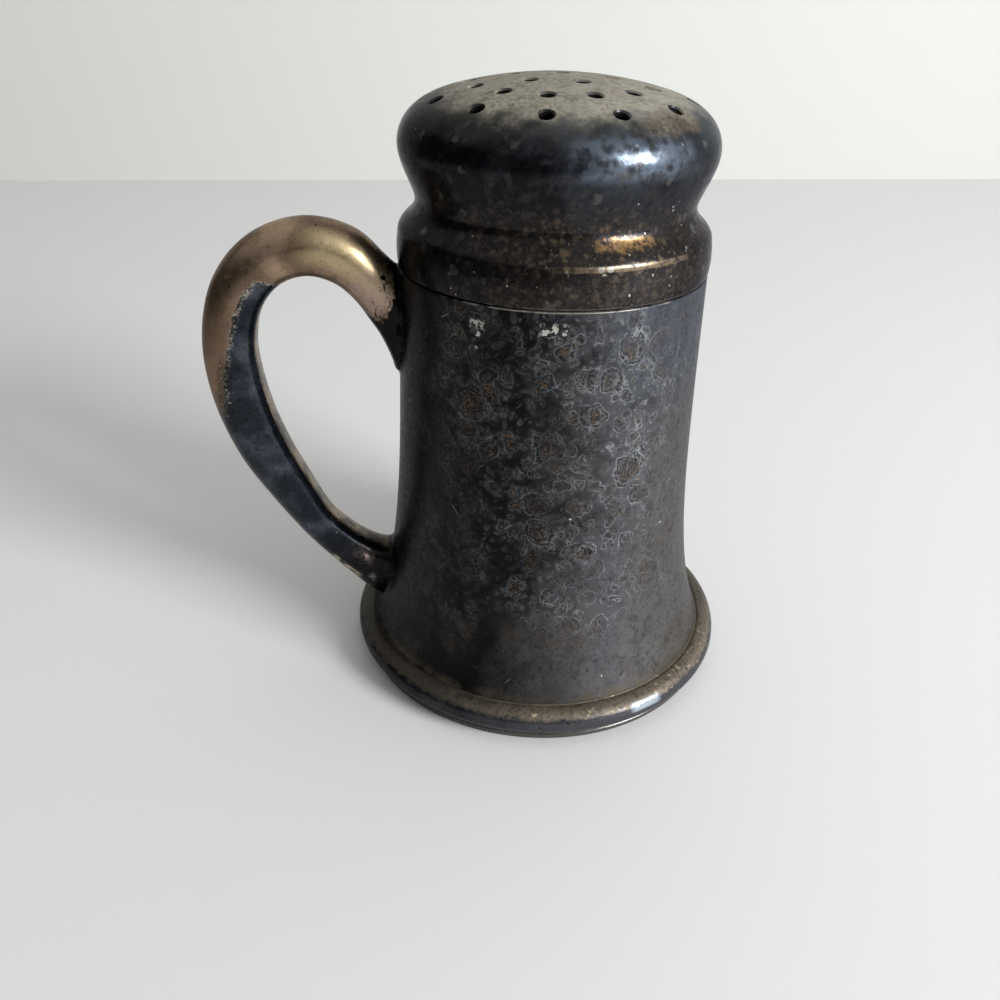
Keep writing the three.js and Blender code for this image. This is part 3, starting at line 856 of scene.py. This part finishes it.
# Handle: its centre line as shares of its reach and of the height between its ends, with its depth and width
handleSizes = {"reach": 30.0, "thickness": 9.4, "upperRoot": 73.2, "lowerRoot": 16.5, "gauge": 1.0,
               "strip": 0.6, "seam": 0.14, "flatness": 0.62, "sunk": 0.35}
bow = (
    (-0.071, 0.757, 0.36, 0.38), (-0.066, 0.788, 0.62, 0.85), (-0.051, 0.834, 0.68, 1.04),
    (-0.014, 0.901, 0.77, 1.09), (0.056, 1.000, 1.00, 1.09), (0.187, 1.085, 0.96, 1.06),
    (0.321, 1.143, 1.03, 1.04), (0.518, 1.168, 1.02, 1.03), (0.741, 1.132, 0.99, 1.01),
    (0.908, 1.036, 0.99, 1.00), (0.988, 0.882, 1.00, 0.99), (0.963, 0.705, 1.04, 0.97),
    (0.856, 0.520, 1.01, 0.94), (0.684, 0.349, 0.89, 0.88), (0.506, 0.206, 0.77, 0.84),
    (0.321, 0.108, 0.84, 0.85), (0.156, 0.041, 1.02, 0.91), (0.016, 0.000, 1.31, 0.98),
    (-0.102, -0.019, 1.38, 1.00))
# the stretch of the bow, from 0 to 1, in which each end meets the wall
handleEnds = ((0.0, 0.3), (1.0, 0.8))


def through(points, t):
    # a point on the smooth line through these points, t from 0 to 1
    far = t * (len(points) - 1)
    i = min(int(far), len(points) - 2)
    w = far - i
    p1, p2 = points[i], points[i + 1]
    p0 = points[i - 1] if i else 2 * p1 - p2
    p3 = points[i + 2] if i + 2 < len(points) else 2 * p2 - p1
    d0, d1, d2 = ((b - a).length ** 0.5 or 1.0 for a, b in ((p0, p1), (p1, p2), (p2, p3)))
    leave = ((p1 - p0) / d0 - (p2 - p0) / (d0 + d1) + (p2 - p1) / d1) * d1
    arrive = ((p2 - p1) / d1 - (p3 - p1) / (d1 + d2) + (p3 - p2) / d2) * d1
    return (p1 + leave * w + (-3 * p1 + 3 * p2 - 2 * leave - arrive) * w * w
            + (2 * p1 - 2 * p2 + leave + arrive) * w ** 3)


bowHeights = [handleSizes["lowerRoot"] + up * (handleSizes["upperRoot"] - handleSizes["lowerRoot"])
              for _, up, _, _ in bow]
bowCentre = [Vector((-wallRadius(z) - out * handleSizes["reach"], 0, z))
             for (out, _, _, _), z in zip(bow, bowHeights)]
bowGirth = [Vector((deep, wide, 0)) * handleSizes["thickness"] / 2 for _, _, deep, wide in bow]


def onBow(t, deepShare, wideShare, shrink=0.0):
    # a point of the section at t, given as shares of the half depth and half width there
    centre = through(bowCentre, t)
    along = (through(bowCentre, min(t + 0.001, 1)) - through(bowCentre, max(t - 0.001, 0))).normalized()
    outward = Vector((along.z, 0, -along.x))
    girth = through(bowGirth, t)
    return (centre + outward * (girth.x - shrink) * deepShare
            + Vector((0, (girth.y - shrink) * wideShare, 0)))


def rootOf(deepShare, wideShare, shrink, low, high, reach):
    # where between low and high that corner's line comes within reach of the body's wall, by halving
    for _ in range(22):
        middle = (low + high) / 2
        p = onBow(middle, deepShare, wideShare, shrink)
        if math.hypot(p.x, p.y) < wallRadius(p.z) + reach:
            low = middle
        else:
            high = middle
    return (low + high) / 2


def around(angle):
    # the section as shares: round outside, flatter towards the hand
    c, s = math.cos(angle), math.sin(angle)
    power = 1.0 if c > 0 else handleSizes["flatness"]
    return (math.copysign(abs(c) ** power, c), math.copysign(abs(s) ** power, s))


def arc(middle, half, steps):
    # the section's outer face, that far to either side of an angle
    return [around(middle - half + 2 * half * k / steps) for k in range(steps + 1)]


def slotAngle(share):
    # how far to either side of the palm a slot of this half width reaches
    return math.asin(share ** (1 / handleSizes["flatness"]))


def swept(name, face, steps=150):
    # a sheet under this face, carried along the bow with its ends let into the wall, and a chart of where
    # each point is along it and round it
    corners = [(*p, 0.0) for p in face] + [(*p, handleSizes["gauge"]) for p in face[::-1]]
    rows = []
    for corner in corners:
        first, last = (rootOf(*corner, *end, -handleSizes["sunk"]) for end in handleEnds)
        rows.append([first + (last - first) * k / steps for k in range(steps + 1)])
    vertices, faces = [], []
    count = len(corners)
    for k in range(steps + 1):
        vertices += [inMetres(onBow(row[k], *corner)) for corner, row in zip(corners, rows)]
    for k in range(steps):
        for j in range(count):
            n = (j + 1) % count
            faces.append((k * count + j, k * count + n, (k + 1) * count + n, (k + 1) * count + j))
    faces.append(tuple(range(count))[::-1])
    faces.append(tuple(steps * count + j for j in range(count)))
    piece = newMesh(name, vertices, faces)
    chart = piece.data.uv_layers.new(name="bow")
    for loop in piece.data.loops:
        k, j = divmod(loop.vertex_index, count)
        deepShare, wideShare, _ = corners[j]
        chart.data[loop.index].uv = (rows[j][k], abs(math.atan2(wideShare, deepShare)) / math.pi)
    soften(piece)
    return piece


def handleFinish():
    material, surface, where = metal("handlePlate", 0.3, tint=(0.75, 0.75, 0.75))
    chart = where.node("UVMap", {"uv_map": "bow"})
    along, turn = chart.axis(0), chart.axis(1)
    ragged = (grain(where, 2.6, 7.0, 0.75) - 0.5) * 0.34
    # how far round the section, from the back of the hand to the palm, the silver is still worn bright
    wornTo = where.node("FloatCurve", {"points": (
        (0.0, 0.7), (0.1, 0.7), (0.2, 0.74), (0.3, 0.87), (0.4, 0.87), (0.45, 0.77), (0.47, 0.58),
        (0.5, 0.55), (0.55, 0.52), (0.58, 0.44), (0.61, 0.34), (0.635, 0.14), (0.66, 0.0), (1.0, 0.0))
        }, {"Value": along + ragged * 0.06})
    torn = (grain(where, 3.6, 2.0, 0.5, offset=(2, 8, 5)) - 0.5) * along.rise(0.36, 0.28) * 0.3
    edge = (wornTo - turn).least((along + turn * 0.112 - 0.29) * 2.2 + torn) + ragged * 0.5
    nibble = grain(where, 0.5, 3.0, 0.7, offset=(3, 3, 3))
    worn = edge.rise(-0.008, 0.008) * (1 - edge.rise(0.07, 0.0) * nibble.rise(0.53, 0.58) * 0.9)
    fleck = edge.band(-0.01, 0.015, 0.05) * nibble.rise(0.5, 0.57) * along.rise(0.36, 0.42)
    pits = spots(shaken(where, 0.5, 0.2), 1.5, 0.06, 0.2, 0.05, 0.2, (7, 1, 2))[1]
    gold = flat(where, (172, 148, 124)).coated(
        ((118, 99, 82), grain(where, 7.0, 5.0).rise(0.38, 0.62)),
        ((120, 98, 80), along.rise(0.4, 0.56) * 0.75),
        # a painted highlight on the top of the bow
        ((208, 188, 146), along.band(0.31, 0.04, 0.07) * turn.band(0.42, 0.1, 0.16) * 0.75),
        ((184, 160, 150), along.band(0.255, 0.02, 0.03) * turn.band(0.6, 0.12, 0.2) * 0.5),
        ((96, 78, 62), grain(where, 0.42, 3.0, 0.7, offset=(6, 1, 0)).rise(0.58, 0.68) * 0.55, "MULTIPLY"),
        ((40, 34, 30), pits * 0.7))
    clouds = grain(where, 6.0, 5.0, offset=(1, 5, 9))
    # soft lights on the lumpy toe
    lumpy = grain(where, 0.8, 3.0, offset=(2, 3, 8)).rise(0.34, 0.6)
    lights = [(tone, along.band(far, 0.0, length) * turn.band(aside, 0.0, width) * lumpy * share)
              for far, aside, length, width, tone, share in (
                  (0.868, 0.62, 0.04, 0.2, (92, 82, 78), 0.9),
                  (0.868, 0.63, 0.012, 0.06, (226, 204, 198), 0.9),
                  (0.912, 0.4, 0.014, 0.1, (136, 140, 146), 0.8))]
    specks = spots(shaken(where, 0.4, 0.15), 1.25, 0.07, 0.2, 0.06, 0.25, (1, 6, 2))[1]
    dark = flat(where, (33, 37, 44)).coated(
        ((96, 101, 112), clouds.rise(0.44, 0.74) * 0.5), ((9, 9, 9), along.rise(0.29, 0.25)),
        ((10, 10, 11), along.rise(0.77, 0.86) * 0.9), *lights,
        ((80, 80, 84), grain(where, 0.7, 4.0, 0.7, offset=(4, 4, 1)).rise(0.5, 0.64) * 0.6, "MULTIPLY"),
        ((150, 148, 142), specks * 0.45 * along.rise(0.2, 0.3)))
    # a sprinkle of bright grains where the worn silver narrows
    grains = spots(where, 0.55, 0.14, 0.34, 0.1, 0.6, (4, 2, 6))[1]
    sprinkle = along.band(0.6, 0.02, 0.025) * edge.band(-0.01, 0.07, 0.06)
    # a pale worn strip along the underside near the lower end
    rub = along.band(0.858, 0.026, 0.012) * turn.band(0.2, 0.1, 0.05)
    color = dark.coated(
        (gold, worn), ((176, 168, 154), fleck * along.band(0.42, 0.04, 0.1) * 0.35 + fleck * 0.45),
        ((28, 28, 30), sprinkle * 0.5), ((186, 178, 166), grains * sprinkle * 0.8),
        ((196, 184, 158), rub * grain(where, 1.4, 3.0, offset=(9, 9, 2)).rise(0.36, 0.5) * 0.85))
    rough = worn * 0.12 + grain(where, 0.9, 3.0).rise(0.3, 0.8) * 0.12 + 0.2 + clouds.rise(0.5, 0.7) * 0.06
    connect(surface, worn * -0.9 + fleck * 0.5 + grain(where, 0.5, 4.0, 0.65), 0.35, 0.07,
            color=color, roughness=rough, metallic=worn * 0.25 + 0.75)
    return material


def stripFinish():
    material, surface, where = metal("stripPlate")
    along = where.node("UVMap", {"uv_map": "bow"}).axis(0)
    color = flat(where, (66, 60, 54)).coated(
        ((132, 116, 96), grain(where, 4.0, 5.0).rise(0.38, 0.64)),
        ((30, 27, 25), along.rise(0.3, 0.18) * 0.8 + along.rise(0.82, 0.9) * 0.75),
        ((110, 96, 84), grain(where, 0.5, 3.0, offset=(4, 4, 4)).rise(0.52, 0.64) * 0.6, "MULTIPLY"))
    rough = grain(where, 1.2, 3.0).rise(0.3, 0.8) * 0.2 + 0.24
    connect(surface, grain(where, 0.7, 4.0), depth=0.05, color=color, roughness=rough)
    return material


handle = swept("handleShell", arc(0, math.pi - slotAngle(handleSizes["strip"]), 72))
place(handle, "shaker_body", handleFinish(), "handle_plate", "handle_shell")
stripHalf = handleSizes["strip"] - handleSizes["seam"] / (handleSizes["thickness"] / 2)
strip = swept("handleStrip", arc(math.pi, slotAngle(stripHalf), 14))
place(strip, "shaker_body", stripFinish(), "strip_plate", "handle_inner_strip")

# Solder: how far it climbs the handle and spreads on the wall, how its edges and its middle lie, and its root
solderSizes = {"climb": 1.1, "spread": 1.0, "sunk": 0.05, "proud": 0.03, "belly": 0.12,
               "rootDepth": 0.5, "rootInset": 0.3}


def solderFillet(name, corners, steps=6):
    # a soft concave fillet round each end of the handle, between the metal and the wall
    s = solderSizes
    vertices, faces = [], []
    count, row = len(corners), steps + 2
    for end in handleEnds:
        ring = [[onBow(rootOf(*corner, 0.0, *end, reach), *corner) for reach in (0.0, s["climb"])]
                for corner in corners]
        middle = sum((foot for foot, _ in ring), Vector()) / count
        start = len(vertices)
        for foot, away in ring:
            wallOut = Vector((foot.x, foot.y, 0)).normalized()
            spread = foot - middle
            spread = (spread - wallOut * spread.dot(wallOut)).normalized()
            near = foot + spread * s["spread"]
            scale = (wallRadius(near.z) - s["sunk"]) / math.hypot(near.x, near.y)
            near = Vector((near.x * scale, near.y * scale, near.z))
            belly = foot + spread * s["belly"]
            lift = away + spread * s["proud"]
            for k in range(steps + 1):
                t = k / steps
                vertices.append(near * (1 - t) ** 2 + belly * 2 * t * (1 - t) + lift * t * t)
            vertices.append(foot - wallOut * s["rootDepth"] - spread * s["rootInset"])
        for j in range(count):
            n = (j + 1) % count
            for k in range(row):
                m = (k + 1) % row
                faces.append((start + j * row + k, start + n * row + k, start + n * row + m,
                              start + j * row + m))
    piece = newMesh(name, [inMetres(p) for p in vertices], faces)
    soften(piece, 60)
    return piece


fillet = solderFillet("handleSolder", [around(2 * math.pi * (k + 0.5) / 64) for k in range(64)])
place(fillet, "shaker_body", dullSheet("solderDull", (9, 9, 9), (40, 38, 36), 2.4, 0.24), "handle_plate")
print("handle drawn")


# Floor, wall, light and camera
viewSizes = {"foot": 38.0, "turn": 11.0, "distance": 4.1402, "height": 3.2593, "yaw": -0.052, "pitch": 0.5385,
             "roll": 0.0238, "focal": 895.3, "image": 1000, "wall": 475, "wallTurn": 10}


def turnBack(x, y, z):
    # from the photograph's own frame to the model's
    a = math.radians(-viewSizes["turn"])
    return Vector((x * math.cos(a) - y * math.sin(a), x * math.sin(a) + y * math.cos(a), z))


def photoCamera():
    v = viewSizes
    yaw, pitch, roll = v["yaw"], v["pitch"], v["roll"]
    forward = Vector((math.sin(yaw) * math.cos(pitch), math.cos(yaw) * math.cos(pitch), -math.sin(pitch)))
    right = Vector((math.cos(yaw), -math.sin(yaw), 0))
    up = right.cross(forward)
    level = right * math.cos(roll) + up * math.sin(roll)
    up = up * math.cos(roll) - right * math.sin(roll)
    x, y, z = (turnBack(*w) for w in (level, up, -forward))
    spot = turnBack(0, -v["distance"] * v["foot"] * mm, v["height"] * v["foot"] * mm) + Vector((axisX, 0, 0))
    data = bpy.data.cameras.new("photoCamera")
    data.sensor_width = 36
    data.lens = 36 * v["focal"] / v["image"]
    data.clip_start = 0.01
    camera = bpy.data.objects.new("photoCamera", data)
    camera.matrix_world = Matrix(((x.x, y.x, z.x, spot.x), (x.y, y.y, z.y, spot.y),
                                  (x.z, y.z, z.z, spot.z), (0, 0, 0, 1)))
    bpy.context.scene.collection.objects.link(camera)
    bpy.context.scene.camera = camera


def paint(name, color, roughness):
    material = bpy.data.materials.new(name)
    material.use_nodes = True
    surface = material.node_tree.nodes["Principled BSDF"]
    surface.inputs["Base Color"].default_value = (*color, 1)
    surface.inputs["Roughness"].default_value = roughness
    surface.inputs["Specular IOR Level"].default_value = 0.25
    return material


floor = newMesh("floor", [(-3, -3, 0), (3, -3, 0), (3, 3, 0), (-3, 3, 0)], [(0, 1, 2, 3)])
floor.data.materials.append(paint("paleFloor", (0.78, 0.77, 0.765), 0.55))
back = viewSizes["wall"] * mm
aside = math.tan(math.radians(viewSizes["wallTurn"]))
corners = [turnBack(x, back + x * aside, z) for x, z in ((-2.5, -0.01), (2.5, -0.01), (2.5, 2), (-2.5, 2))]
backdrop = newMesh("backdrop", [tuple(c) for c in corners], [(0, 1, 2, 3)])
backdrop.data.materials.append(paint("paleWall", (0.78, 0.78, 0.74), 0.8))


def areaLight(name, azimuth, elevation, distance, width, height, power, color):
    # a soft lamp that looks at the shaker; azimuth from +X towards +Y
    a, e = math.radians(azimuth), math.radians(elevation)
    away = Vector((math.cos(a) * math.cos(e), math.sin(a) * math.cos(e), math.sin(e)))
    data = bpy.data.lights.new(name, "AREA")
    data.shape = "RECTANGLE"
    data.size, data.size_y = width, height
    data.energy = power
    data.color = color
    lamp = bpy.data.objects.new(name, data)
    lamp.location = away * distance + Vector((axisX, 0, 0.05))
    lamp.rotation_mode = "QUATERNION"
    lamp.rotation_quaternion = away.to_track_quat("Z", "Y")
    bpy.context.scene.collection.objects.link(lamp)


def darkCard(name, first, last, distance, height, steps=12):
    # a studio's black card, curved round the shaker, that only its reflections and its shade show
    vertices, faces = [], []
    for k in range(steps + 1):
        a = math.radians(first + (last - first) * k / steps)
        x, y = axisX + distance * math.cos(a), distance * math.sin(a)
        vertices += [(x, y, 0.002), (x, y, height)]
        if k:
            faces.append((2 * k - 2, 2 * k, 2 * k + 1, 2 * k - 1))
    card = newMesh(name, vertices, faces)
    card.data.materials.append(paint(name, (0.03, 0.03, 0.03), 0.9))
    card.visible_camera = False
    return card


areaLight("windowLight", azimuth=-42, elevation=23, distance=0.9, width=0.32, height=0.28, power=8.8,
          color=(0.95, 0.98, 1.0))
areaLight("doorLight", azimuth=-107, elevation=21, distance=0.6, width=0.06, height=0.02, power=0.05,
          color=(0.98, 0.98, 1.0))
card = darkCard("darkCard", first=-213, last=-75, distance=0.6, height=0.42)


def studioWorld():
    # a pale room that is greyer in front of the shaker, on the handle's side
    world = bpy.data.worlds.new("studio")
    world.use_nodes = True
    bpy.context.scene.world = world
    tree = world.node_tree
    surface = tree.nodes["Background"]
    way = Shade(tree).node("TexCoord", output=0)
    front = way.vector("DOT_PRODUCT", (-0.6, -0.75, 0.28), 1)
    color = way.node("Mix", {"data_type": "RGBA"}, {
        0: front.rise(0.1, 0.85), 6: (0.93, 0.94, 0.95), 7: (0.5, 0.5, 0.51)}, 2)
    tree.links.new(color.socket, surface.inputs["Color"])
    surface.inputs["Strength"].default_value = 0.85


studioWorld()
photoCamera()
bpy.context.scene.view_settings.view_transform = "Standard"
print("stage set")
